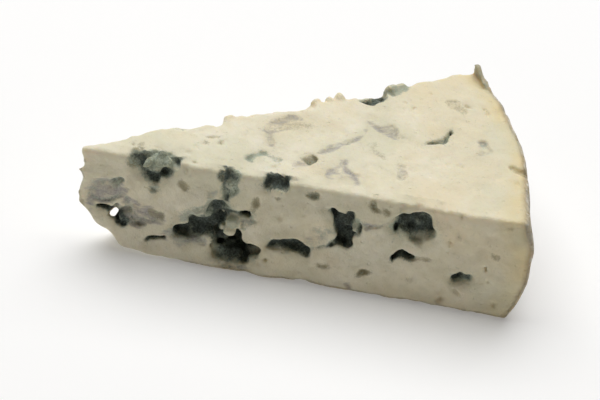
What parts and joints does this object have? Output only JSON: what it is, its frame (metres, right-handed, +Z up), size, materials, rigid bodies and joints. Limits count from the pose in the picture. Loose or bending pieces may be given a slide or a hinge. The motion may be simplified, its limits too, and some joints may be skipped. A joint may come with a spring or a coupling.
{
  "type": "blue cheese wedge",
  "caption": "Low wedge of veined blue cheese with a natural rind on its curved outer side, mould pockets in the cut faces and a crumbled tip.",
  "frame": {"origin": "middle of the wedge's bounding box in X and Y, on the plane it rests on", "axes": "+X from the tip to the rind along the wedge's middle line, +Z up from the rind underside to the cut top, +Y towards the far cut face"},
  "size_m": [0.0644, 0.038, 0.0187],
  "materials": {
    "paste": "moist, softly matt, ivory paste with blue-green mould",
    "rind": "dry, dusty, mottled grey-brown rind"
  },
  "bodies": {
    "root": {"cheese_wedge": "paste"}
  },
  "joints": []
}
